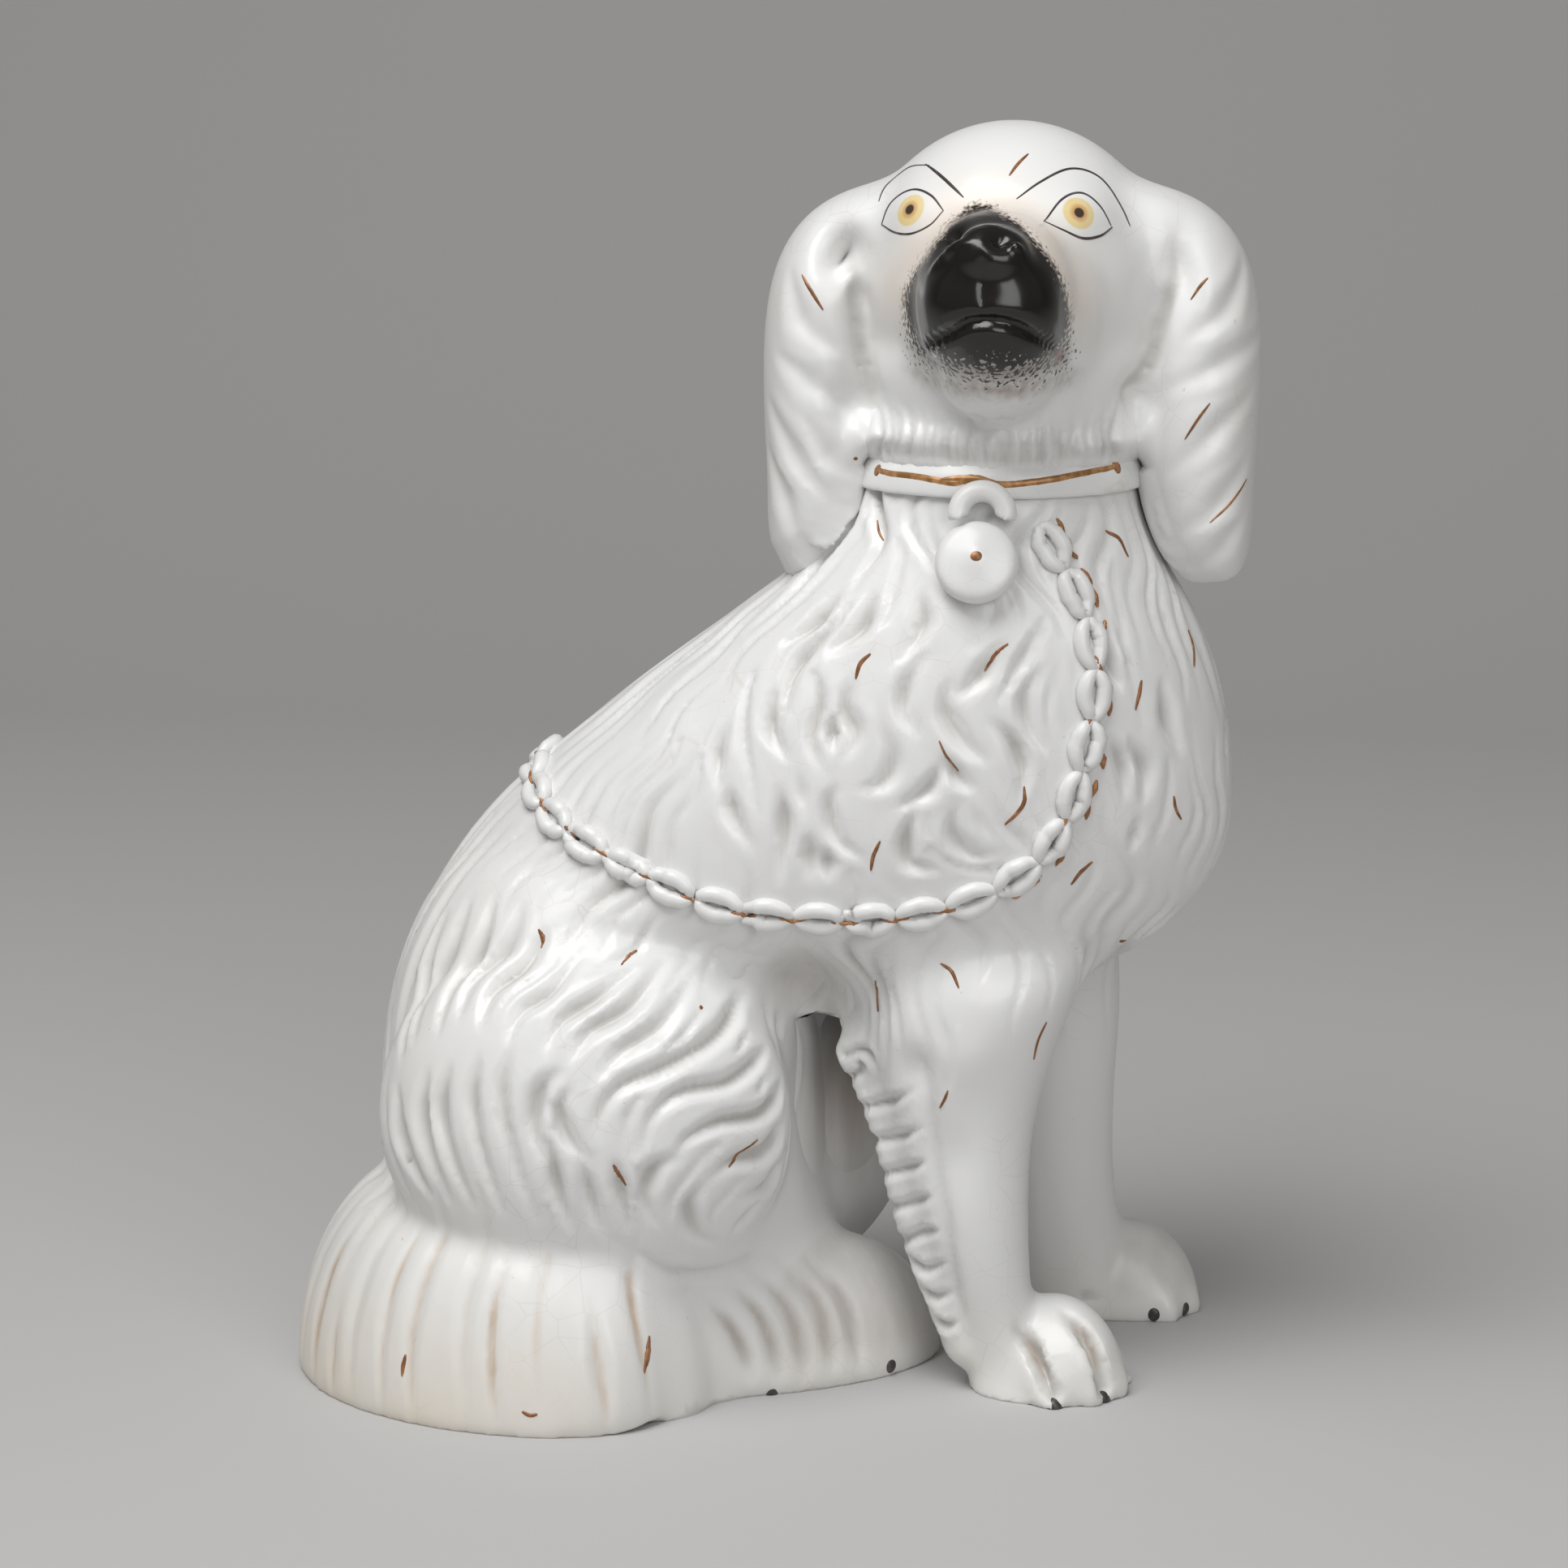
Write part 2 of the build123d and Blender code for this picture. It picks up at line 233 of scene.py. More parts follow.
photo_eye = np.array((120.0, -1180.0, 380.0))
photo_aim = np.array((120.0, 0.0, 160.0))
photo_zoom = 4180.0
photo_middle = 966.0
ahead = (photo_aim - photo_eye) / np.linalg.norm(photo_aim - photo_eye)
sideways = np.cross(ahead, (0, 0, 1)) / np.linalg.norm(np.cross(ahead, (0, 0, 1)))
upwards = np.cross(sideways, ahead)


def pixel_of(places):
    """Pixels of the photograph at which places are seen, and how far off they are."""
    rays = np.asarray(places) - photo_eye
    deep = rays @ ahead
    return photo_middle + photo_zoom * (rays @ sideways) / deep, photo_middle - photo_zoom * (rays @ upwards) / deep, deep


def seen(clay, across, down):
    """The place on a skin that the photograph shows at a pixel."""
    way = ahead * photo_zoom + sideways * (across - photo_middle) - upwards * (down - photo_middle)
    place = clay.skin.ray_cast(Vector(photo_eye), Vector(way))[0]
    if place is None:
        depth = (clay.at[:, 1].mean() - photo_eye[1]) / way[1]
        place = clay.skin.find_nearest(Vector(photo_eye + way * depth))[0]
    return np.array(place)


def seen_line(clay, pixels, count=40):
    """A smooth line on a skin through pixels of the photograph."""
    return clay.laid(smooth_steps([seen(clay, *pixel) for pixel in pixels], count))


def of_node(clay, node, reach):
    """Which points of a skin lie on the pressing of one node."""
    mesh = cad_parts[node].data
    pressing = BVHTree.FromPolygons([point.co / MM for point in mesh.vertices],
                                    [face.vertices[:] for face in mesh.polygons])
    return np.array([pressing.find_nearest(Vector(point), reach)[0] is not None for point in clay.at])


body_nodes = ["front_body_shell", "back_body_shell", "right_foreleg", "left_foreleg", "right_hind_paw", "tail"]
feather_top = np.array((21.0, -14.0, 84.0))
feather_foot = np.array((50.0, -14.0, 12.0))
body_slip = [((-29, -40, 0), (13, 11, 36)), ((-17, -28, 0), (9, 7, 32)), ((20, -17, 91), (9, 7, 10))]
body_slip += [(feather_top + t * (feather_foot - feather_top), (8 - 2 * t, 8, 7)) for t in np.linspace(0, 1, 14)]
body = Clay("body", body_nodes, 1.2, body_slip)
x, y, z = body.at.T
on_tail = of_node(body, "tail", 1.0)
on_paw = of_node(body, "right_hind_paw", 1.0)
on_far_leg = of_node(body, "left_foreleg", 1.0)
on_legs = of_node(body, "right_foreleg", 1.0) | on_far_leg
body.smooth(8)
body.settle()
body.lump((-8, -58, 18), (15, 15, 45), -9.0)
body.relief *= on_tail
body.press()
shoulder_share = np.clip((z - 84) / 14, 0, 1) * np.clip((x - 27) / 8, 0, 1)
flank_share = np.clip((z - 120) / 10, 0, 1)
saddle_share = np.clip(1.9 - np.hypot((x + 15) / 24, (y + 42) / 26), 0, 1) * np.clip((46 - z) / 12, 0, 1)
belly_share = np.exp(-(((x - 14) / 14) ** 2) - ((z - 100) / 12) ** 2)
joint_share = np.maximum(shoulder_share, flank_share)
body.fill(160, np.maximum(joint_share, 0.04))
body.fill(340, np.maximum(shoulder_share, saddle_share))
body.smooth(16, np.maximum(joint_share, 0.22))
body.smooth(30, np.maximum(shoulder_share, belly_share))
body.smooth(70, 0.9 * saddle_share)
body.settle()
recess = (19, 0, 78)
body.lump(recess, (15, 30, 34), -7.0)
body.press()
off_thigh = np.sqrt(((x + 49) / 55) ** 2 + ((y + 24) / 37) ** 2 + ((z - 74) / 50) ** 2) - 1
groin = np.exp(-(((x - 7) / 13) ** 2) - ((z - 106) / 13) ** 2) * np.clip(-y / 38, 0, 1)
groin *= np.clip((off_thigh - 0.015) / 0.09, 0, 1)
body.at[:, 1] += 24 * groin
body.smooth(12, np.maximum(0.3, groin))
body.settle()
haunch_top = [(345, 1104), (414, 1117), (478, 1127), (525, 1146)]
body.groove(seen_line(body, haunch_top), 6.0, 3.2, (0.8, 0.1), 0)
body.press()
body.values["groove"][:] = 0


chest_locks = [
    [(676, 850), (658, 881), (656, 906), (670, 927)], [(746, 841), (725, 872), (703, 893)],
    [(636, 918), (647, 948), (639, 970), (618, 977)], [(691, 951), (679, 976), (651, 994)],
    [(691, 945), (707, 964), (722, 976)], [(598, 973), (589, 991), (598, 1022), (624, 1042)],
    [(670, 994), (661, 1019), (665, 1043), (691, 1049)], [(707, 988), (703, 1013), (719, 1034), (740, 1034)],
    [(543, 976), (548, 1013), (545, 1062)], [(498, 976), (501, 1000), (520, 1034)],
    [(572, 1019), (573, 1040), (572, 1060)], [(586, 1031), (588, 1046), (588, 1060)],
    [(778, 866), (766, 890), (771, 918), (786, 942)], [(737, 912), (757, 933), (766, 958), (765, 982)],
    [(841, 921), (856, 951), (858, 982)], [(861, 927), (876, 954), (875, 985)],
    [(700, 872), (694, 902), (713, 933), (734, 951)], [(572, 866), (578, 896), (572, 933), (584, 964)],
    [(612, 872), (602, 902), (612, 927), (602, 951)], [(538, 887), (535, 921), (550, 951)],
    [(670, 798), (671, 826), (651, 860)], [(627, 798), (615, 829), (587, 853)], [(596, 798), (572, 826), (541, 850)],
    [(838, 826), (841, 860), (853, 881)], [(890, 872), (896, 909), (909, 939)],
]
haunch_locks = [
    [(469, 1148), (441, 1193), (402, 1221), (377, 1252)],
    [(514, 1164), (492, 1202), (447, 1231), (402, 1253), (383, 1282), (386, 1304)],
    [(536, 1215), (504, 1244), (460, 1255), (433, 1279), (426, 1308)],
    [(551, 1248), (533, 1273), (495, 1282), (466, 1298), (457, 1314)],
    [(552, 1286), (536, 1308), (508, 1317), (485, 1336)], [(549, 1322), (540, 1339), (517, 1349)],
    [(458, 1314), (436, 1327), (428, 1352), (441, 1381)], [(484, 1336), (469, 1359), (476, 1384), (498, 1394)],
    [(348, 1237), (329, 1257), (324, 1292), (337, 1327)], [(358, 1253), (347, 1276), (358, 1304), (380, 1324)],
    [(399, 1320), (406, 1349), (418, 1392)], [(197, 1257), (203, 1308), (232, 1360)],
    [(224, 1241), (221, 1292), (250, 1366)], [(245, 1234), (238, 1285), (272, 1370)],
    [(272, 1225), (267, 1279), (300, 1376)], [(300, 1222), (294, 1273), (330, 1380)],
    [(337, 1300), (346, 1345), (362, 1388)], [(368, 1318), (378, 1355), (392, 1394)],
    [(332, 1110), (313, 1142), (284, 1167), (272, 1202)], [(367, 1129), (339, 1164), (310, 1186), (297, 1215)],
    [(415, 1145), (380, 1170), (348, 1193), (332, 1222)], [(441, 1139), (412, 1177), (374, 1202), (355, 1231)],
    [(310, 1088), (297, 1126), (265, 1158), (252, 1196)], [(284, 1081), (272, 1126), (246, 1164), (233, 1209)],
    [(262, 1081), (246, 1126), (224, 1170), (211, 1215)], [(240, 1094), (224, 1139), (208, 1190), (201, 1234)],
]
lock_points = np.vstack([smooth_steps(pixels, 24) for pixels in chest_locks + haunch_locks])
lock_ways = np.vstack([np.gradient(smooth_steps(pixels, 24), axis=0) for pixels in chest_locks + haunch_locks])
lock_ways /= np.linalg.norm(lock_ways, axis=1, keepdims=True)


def lean_of_coat(place):
    """The way the hair lies: in waves down the chest and back over the flank, and along the locks drawn near by."""
    place = np.array(place)
    if place[2] < 47:
        return np.zeros(3)
    lean = min(max((30 - place[0]) / 95, 0), 1)
    way = np.array((-0.8 * lean, 0, -1.0))
    way /= np.linalg.norm(way)
    sway = 0.75 if place[0] > 15 and place[2] > 120 else 0.4
    angle = sway * math.sin(2 * math.pi * place[2] / 30 + place[0] / 9.0 + 0.8 * math.sin(place[0] / 17.0))
    way = np.array((way[0] * math.cos(angle) - way[2] * math.sin(angle), 0,
                    way[0] * math.sin(angle) + way[2] * math.cos(angle)))
    if place[1] < 4:
        across, down, _ = pixel_of(place)
        near = np.exp(-(((lock_points - (across, down)) / 24.0) ** 2).sum(1))
        pull = near @ lock_ways
        share = min(np.hypot(*pull) / 3, 1)
        if share > 0.02:
            drawn = sideways * pull[0] - upwards * pull[1]
            way = (1 - share) * way + share * drawn / np.linalg.norm(drawn)
    return way


def combed(clay, chosen, flow, spacing, length, seed, laid=(), step=2.5):
    """Hair lines that follow the flow over the chosen skin, evenly spaced, beside those laid already."""
    draw = np.random.default_rng(seed)
    starts = clay.at[draw.permutation(np.nonzero(chosen)[0])[:7000]]
    drawn = np.vstack([np.empty((0, 3)), *laid])
    lines = []
    for start in starts:
        if len(drawn) and ((drawn - start) ** 2).sum(1).min() < spacing**2:
            continue
        halves = []
        for sign in (-1, 1):
            point = Vector(start)
            half = []
            for _ in range(int(length * draw.uniform(0.3, 0.6) / step)):
                foot, out, _, _ = clay.skin.find_nearest(point)
                way = Vector(flow(foot))
                way -= out * way.dot(out)
                if way.length < 0.2:
                    break
                point = clay.skin.find_nearest(foot + way.normalized() * (sign * step))[0]
                if len(drawn) and ((drawn - np.array(point)) ** 2).sum(1).min() < (0.62 * spacing) ** 2:
                    break
                half.append(point)
            halves.append(half)
        line = halves[0][::-1] + [Vector(start)] + halves[1]
        if len(line) > 4:
            drawn = np.vstack([drawn, np.array(line)])
            lines.append(smooth_steps(line, 3 * len(line)))
    return lines


rng = random.Random(7)
valleys = []
for pixels in chest_locks + haunch_locks:
    line = seen_line(body, pixels)
    at_edge = pixels[0][0] > 500 and pixels[0][1] > 1150
    body.groove(line, rng.uniform(1.9, 2.5), rng.uniform(2.0, 2.9), (0.12, 0.6) if at_edge else (0.4, 0.5))
    valleys.append(line)
on_coat = (z > 50) & (z < 238) & ~on_tail & ~on_paw & ~(on_legs & (z < 116)) & ~((x > 2) & (z < 102))
tinted = []
for count, line in enumerate(combed(body, on_coat, lean_of_coat, 4.9, 95, 5, valleys)):
    deep = count % 4 == 0
    middle = line[len(line) // 2]
    on_flank = middle[0] < 30 and middle[2] > 125
    strong = 1.5 if on_flank else 1.0
    body.groove(line, rng.uniform(1.7, 2.2) if deep else rng.uniform(1.1, 1.5),
                strong * (rng.uniform(1.4, 2.0) if deep else rng.uniform(0.6, 1.1)))
    if count % 3 == 1 and middle[1] < 0 and middle[0] < 25 and (on_flank or middle[0] < -50):
        tinted.append(line)
haunch_foot = [(400, 1390), (420, 1402), (446, 1417), (475, 1421), (505, 1415), (541, 1396)]
body.groove(seen_line(body, haunch_foot), 1.8, 1.5, (0.5, 0.1), 0.1)


def straight_down(place):
    """Grooves of the tail run from its top down to the table."""
    return (0.12 * math.sin(place[2] / 9), 0, -1.0)


tail_grooves = combed(body, on_tail & (z > 3) & (x < -32), straight_down, 8.0, 95, 11)
for line in tail_grooves:
    body.groove(line, rng.uniform(1.8, 2.6), rng.uniform(0.6, 1.3))

feather_lines = [
    [(603, 1245), (637, 1263), (676, 1246)], [(620, 1273), (646, 1294), (685, 1280)],
    [(633, 1309), (655, 1323), (688, 1311)], [(644, 1340), (662, 1354), (693, 1342)],
    [(657, 1373), (672, 1382), (700, 1374)], [(671, 1401), (686, 1411), (710, 1400)],
    [(683, 1430), (695, 1436), (714, 1429)], [(695, 1457), (705, 1462), (718, 1456)],
]


def on_leg(line):
    """The part of a line that lies on the near foreleg, without what runs past its edge onto a form behind."""
    line = np.asarray(line)
    return line[line[:, 1] < np.median(line[:, 1]) + 8]


for pixels in feather_lines:
    body.groove(on_leg(seen_line(body, pixels)), 1.4, 2.0, (0.1, 0.5), 0.25)
feather_side = [(676, 1214), (686, 1260), (694, 1310), (704, 1370), (714, 1430), (720, 1470)]
body.groove(seen_line(body, feather_side), 2.4, 1.5, 0.5, 0)
scroll_turn = [(617 + (19 - 1.6 * k) * math.cos(0.75 * k), 1229 - (19 - 1.6 * k) * math.sin(0.75 * k)) for k in range(11)]
body.groove(on_leg(seen_line(body, scroll_turn, 90)), 1.2, 2.2, 0.2)

for toe in ((787, 1500), (832, 1490), (864, 1472)):
    body.lump(seen(body, *toe), (6, 8, 8), 1.8)
for muscle, reach, height in (((711, 1309), (5, 8, 9), -1.6), ((673, 1232), (5, 8, 6), -2.2), ((720, 1220), (7, 8, 7), 1.0)):
    body.lump(seen(body, *muscle), reach, height)
toe_lines = [
    [(768, 1458), (786, 1485), (806, 1528)], [(808, 1442), (834, 1473), (851, 1522)],
    [(845, 1434), (863, 1462), (872, 1500)],
]
for pixels in toe_lines:
    body.groove(seen_line(body, pixels), 2.3, 3.0, (0.5, 0.08), 0)
paw_lines = [
    [(478, 1440), (512, 1474), (532, 1520)], [(502, 1424), (538, 1464), (556, 1522)],
    [(524, 1412), (562, 1455), (580, 1520)], [(548, 1402), (588, 1446), (605, 1512)],
    [(574, 1398), (612, 1442), (630, 1502)],
]
for pixels in paw_lines:
    body.groove(seen_line(body, pixels), 2.6, 2.0, (0.6, 0.25), 0)
body.press()
body.smooth(1, 0.6)
body.settle()

def spread(values, times):
    """Lets a colour run from point to point over the body."""
    for _ in range(times):
        values = body.around(values[:, None])[:, 0]
    return values


cream = 0.07 * on_tail + 0.32 * np.clip((36 - z) / 25, 0, 1) + 0.25 * np.clip((-30 - x) / 60, 0, 1)
body.values["cream"] = spread(cream, 25)
for line in tail_grooves:
    body.stain("streak", line, rng.uniform(0.9, 1.9), rng.uniform(0.4, 1.0))
body.values["streak"] *= spread(1.0 * on_tail, 5)
for line in tinted:
    body.stain("streak", line, 0.9, 0.45)
paw_wash = on_paw * np.clip((x + 10) / 12, 0, 1) * np.clip((50 - z) / 12, 0, 1)
paw_wash += on_far_leg * np.clip((30 - z) / 10, 0, 1) * np.clip((x - 75) / 14, 0, 1)
body.values["wash_and_shade"] = 0.46 * spread(paw_wash * np.clip((z - 1) / 9, 0.2, 1), 8)
for pixels in paw_lines:
    body.stain("wash_and_shade", seen_line(body, pixels), 2.6, 0.62)
for pixels in toe_lines:
    body.stain("wash_and_shade", seen_line(body, pixels), 1.8, 0.8)
# Painted shade: the recess between haunch and foreleg, deep in the body, is darkened with the wash brown.
body.lump(recess, (17, 60, 40), 0.8)
body.values["wash_and_shade"] = np.maximum(body.values["wash_and_shade"], body.relief * (body.at[:, 1] > -12) * (body.at[:, 1] < 48))
# Painted shade in the groin valley, with the same brown.
body.values["wash_and_shade"] = np.maximum(body.values["wash_and_shade"], 0.5 * spread(np.clip(2.4 * groin, 0, 1), 16))
body.relief[:] = 0


class Value:
    """A socket in a material that Python's operators work on."""

    def __init__(self, tree, socket=None):
        self.tree = tree
        self.socket = socket

    def node(self, kind, out, sockets, **settings):
        """Adds a node with its settings and the values or links of its sockets, and gives one output."""
        made = self.tree.nodes.new(kind)
        for name, setting in settings.items():
            setattr(made, name, setting)
        for name, value in sockets.items():
            if isinstance(value, Value):
                self.tree.links.new(value.socket, made.inputs[name])
            else:
                made.inputs[name].default_value = value
        return Value(self.tree, made.outputs[out])

    def maths(self, operation, a, b):
        return self.node("ShaderNodeMath", "Value", {0: a, 1: b}, operation=operation)

    def __add__(self, other):
        return self.maths("ADD", self, other)

    __radd__ = __add__

    def __sub__(self, other):
        return self.maths("SUBTRACT", self, other)

    def __rsub__(self, other):
        return self.maths("SUBTRACT", other, self)

    def __mul__(self, other):
        return self.maths("MULTIPLY", self, other)

    __rmul__ = __mul__

    def ramp(self, low, high):
        """0 up to low, 1 from high on, and smooth between."""
        return self.node("ShaderNodeMapRange", "Result", {"Value": self, "From Min": low, "From Max": high},
                         interpolation_type="SMOOTHSTEP")

    def paint(self, under, over):
        """A colour laid over another where this value is 1."""
        return self.node("ShaderNodeMix", 2, {0: self, 6: under, 7: over}, data_type="RGBA")


white = (0.80, 0.80, 0.79, 1)
cream_tint = (0.80, 0.70, 0.55, 1)
# Grey of the painted shade that lies in the grooves.
painted_groove_shade = (0.50, 0.49, 0.46, 1)
ochre = (0.47, 0.29, 0.13, 1)
# Brown of the real wash on the paws and toes, also laid as painted shade in the recess and groin.
wash_and_shade_brown = (0.36, 0.28, 0.225, 1)


def glaze(name, paint_over=None):
    """White earthenware under clear lead glaze: tinted, with painted shade in its grooves, crazed and faintly uneven.
    """
    material = bpy.data.materials.new(name)
    material.use_nodes = True
    tree = material.node_tree
    shader = tree.nodes["Principled BSDF"]
    sheet = Value(tree)
    place = sheet.node("ShaderNodeTexCoord", "Object", {})

    def value_of(attribute):
        return sheet.node("ShaderNodeAttribute", "Fac", {}, attribute_name=attribute)

    cloud = sheet.node("ShaderNodeTexNoise", "Fac", {"Vector": place, "Scale": 28.0, "Detail": 4.0})
    fine = sheet.node("ShaderNodeTexNoise", "Fac", {"Vector": place, "Scale": 420.0, "Detail": 3.0})
    stretched = sheet.node("ShaderNodeMapping", "Vector", {"Vector": place, "Scale": (210, 210, 14)})
    streak = sheet.node("ShaderNodeTexNoise", "Fac", {"Vector": stretched, "Scale": 1.0, "Detail": 3.0})
    cracks = sheet.node("ShaderNodeTexVoronoi", "Distance", {"Vector": place, "Scale": 120.0},
                        feature="DISTANCE_TO_EDGE")
    cream = value_of("cream")
    colour = (cream * (0.35 + 0.9 * cloud)).ramp(0.05, 0.95).paint(white, cream_tint)
    groove = value_of("groove")
    # Painted shade: the deeper a groove, the greyer its glaze, as shade lies in it.
    colour = ((groove * (0.5 + 0.7 * cloud)).ramp(0.25, 2.4) * 0.8).paint(colour, painted_groove_shade)
    colour = (value_of("streak") * (0.3 + 1.1 * streak)).ramp(0.1, 1.1).paint(colour, ochre)
    # Brown wash: real paint on the paws and toes, and painted shade in the recess and groin.
    colour = (value_of("wash_and_shade") * (0.6 + 0.5 * streak)).ramp(0.15, 0.95).paint(colour, wash_and_shade_brown)
    colour = ((1 - cracks.ramp(0.0, 0.025)) * cloud.ramp(0.45, 0.7) * 0.16).paint(colour, ochre)
    colour = (fine.ramp(0.74, 0.80) * 0.35).paint(colour, ochre)
    if paint_over:
        colour = paint_over(sheet, place, value_of, colour, fine)
    tree.links.new(colour.socket, shader.inputs["Base Color"])
    tree.links.new((0.32 + 0.18 * cloud - 0.2 * value_of("muzzle").ramp(0.0, 3.0)).socket, shader.inputs["Roughness"])
    shader.inputs["Coat Weight"].default_value = 0.22
    shader.inputs["Coat Roughness"].default_value = 0.14
    uneven = sheet.node("ShaderNodeTexNoise", "Fac", {"Vector": place, "Scale": 95.0, "Detail": 2.0})
    bump = sheet.node("ShaderNodeBump", "Normal", {"Height": uneven, "Strength": 0.12, "Distance": 0.001})
    tree.links.new(bump.socket, shader.inputs["Normal"])
    return material


def finish(piece, material, slot, *nodes):
    """Glazes a piece, and lets it stand for its nodes."""
    piece.data.materials.clear()
    piece.data.materials.append(material)
    if nodes:
        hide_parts(*nodes)
    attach(piece, "root")


coat_glaze = glaze("coat_glaze")
finish(body.write(), coat_glaze, "white_glaze", *body_nodes)


# Head: face and back of the head with both hanging ears, pressed and luted like the body. The face is
# painted over the glaze: a sponged black muzzle, yellow eyes and peach shadows, and fired again.
head_nodes = ["face_shell", "back_head_shell", "right_ear", "left_ear"]
head_slip = [((side, 5, level), (6, 12, 9)) for side in (21, 2 * 58 - 21) for level in (256, 264, 272, 279)]
head_slip += [((side, 12, 305), (16, 16, 9)) for side in (26, 2 * 58 - 26)]
head = Clay("head", head_nodes, 0.95, head_slip)
hx, hy, hz = head.at.T
head.smooth(10)
bridge = np.exp(-(((hx - 56) / 22) ** 2)) * (hy < 2)
crown_share = np.clip((hz - 286) / 14, 0, 1) * (1 - 0.75 * bridge)
head.fill(330, np.maximum(crown_share, 0.04))
head.smooth(24, np.maximum(crown_share, 0.45))
head.settle()

for pixel in ((653, 449), (808, 451)):
    head.lump(seen(head, *pixel), (8.5, 12, 7), 1.9)
head.lump(seen(head, 590, 488), (4.5, 14, 5.5), -12.0)
head.lump(seen(head, 900, 500), (4.0, 14, 9.0), -4.0)
for pixel, reach, depth in (((861, 618), (5, 12, 7), -4.0), ((607, 628), (5, 12, 7), -3.5)):
    head.lump(seen(head, *pixel), reach, depth)
for middle in ((8, 2, 222), (2 * 58 - 8, 2, 222)):
    head.lump(middle, (16, 18, 13), 3.0)
cheek_edges = [
    [(600, 478), (604, 510), (607, 550), (613, 592), (621, 620), (622, 645)],
    [(892, 468), (891, 510), (881, 550), (872, 588), (858, 614), (854, 645)],
]
for pixels in cheek_edges:
    head.groove(seen_line(head, pixels), 2.5, 2.4, 0.6, 0.1)
neck = np.clip((1.12 - np.hypot((hx - 56) / 40, (hy - 11) / 38)) / 0.08, 0, 1) * (hy < 34)
head.relief += 4.8 * neck * np.exp(-(((hz - 250.5) / 5.5) ** 2))
head.press()
head.smooth(5)
head.settle()

for pixel in ((694, 474), (737, 474)):
    head.lump(seen(head, *pixel), (3.2, 6, 2.6), -3.4)
for pixels in ([(674, 506), (690, 490), (713, 478)], [(727, 475), (743, 478), (757, 486)]):
    head.groove(seen_line(head, pixels), 1.8, -1.4, taper=0.8, edge=0)
mouth = seen_line(head, [(664, 580), (692, 560), (712, 550), (739, 550), (765, 559), (790, 577)])
head.groove(mouth, 1.5, 2.3, taper=0.45, edge=0.1)
head.groove(seen_line(head, [(719, 484), (721, 510), (723, 542)]), 1.1, 0.9, taper=0.5, edge=0)
for corner in ((688, 532), (764, 532)):
    head.lump(seen(head, *corner), (10, 10, 9), 1.8)
for tuft in range(34):
    left = 626 + tuft * 6.7 + rng.uniform(-2, 2)
    sag = 9 * math.sin(math.pi * (left - 620) / 235)
    top = rng.uniform(620, 640)
    head.groove(seen_line(head, [(left, top + sag), (left + rng.uniform(-4, 4), 654 + sag), (left, 676 + sag)], 14),
                rng.uniform(1.2, 1.8), rng.uniform(1.2, 2.2), (0.5, 0.15))
ear_folds = [
    [(534, 580), (566, 606), (606, 632)], [(528, 622), (552, 672), (586, 716)], [(528, 665), (544, 712), (560, 756)],
    [(545, 505), (556, 548), (592, 582)], [(560, 640), (584, 672), (602, 690)],
    [(962, 672), (938, 711), (903, 742)], [(972, 556), (938, 585), (890, 612)], [(966, 608), (930, 650), (890, 690)],
    [(955, 492), (942, 535), (905, 566)], [(958, 725), (940, 752), (914, 772)],
]
for pixels in ear_folds:
    head.groove(seen_line(head, pixels), 3.0, 1.2, taper=1.0, edge=0.25)
head.press()
head.smooth(2, 0.5)
head.meet(body, 9.0, 242)
head.settle()

muzzle_edge = [(722, 445), (756, 467), (789, 509), (799, 551), (798, 586), (780, 594), (743, 603), (690, 596),
               (661, 580), (652, 540), (656, 515), (682, 475), (705, 451), (722, 445)]


def muzzle_depth(clay, edge):
    """How far inside the painted outline each point of the face lies, in millimetres, as photographed."""
    across, down, deep = pixel_of(clay.at)
    line = smooth_steps(edge, 160)
    gap = np.full(len(clay.at), np.inf)
    inside = np.zeros(len(clay.at), bool)
    for (ax, ay), (bx, by) in zip(line, line[1:]):
        share = np.clip(((across - ax) * (bx - ax) + (down - ay) * (by - ay)) / ((bx - ax) ** 2 + (by - ay) ** 2), 0, 1)
        gap = np.minimum(gap, np.hypot(across - ax - share * (bx - ax), down - ay - share * (by - ay)))
        crosses = ((ay > down) != (by > down)) & (across < (bx - ax) * (down - ay) / (by - ay + 1e-12) + ax)
        inside ^= crosses
    depth = np.where(inside, gap, -gap) * deep / photo_zoom
    return np.where(clay.out[:, 1] < 0.35, depth, -30)


depth = np.clip(muzzle_depth(head, muzzle_edge), -30, 30)
head.values["muzzle"] = depth
head.values["cream"] = 0.25 * np.clip((np.abs(hx - 58) - 45) / 15, 0, 1)
head.values["peach"] = np.exp(-((np.clip(depth, -40, 0) / 8) ** 2)) * np.clip((hz - 272) / 16, 0, 1)
head.values["chin"] = np.exp(-((np.clip(depth, -40, 0) / 5.5) ** 2)) * np.clip((274 - hz) / 8, 0, 1)
eye_places = [seen(head, 653, 449), seen(head, 807, 451)]

muzzle_black = (0.009, 0.008, 0.007, 1)
muzzle_brown = (0.11, 0.075, 0.055, 1)
chin_brown = (0.27, 0.21, 0.165, 1)
peach = (0.84, 0.64, 0.46, 1)
iris_yellow = (0.78, 0.60, 0.24, 1)
iris_orange = (0.56, 0.27, 0.10, 1)
pupil_brown = (0.05, 0.032, 0.022, 1)
dab_red = (0.30, 0.06, 0.035, 1)
iris_radius = 4.3
ring_radius = 2.3
pupil_radius = 1.35


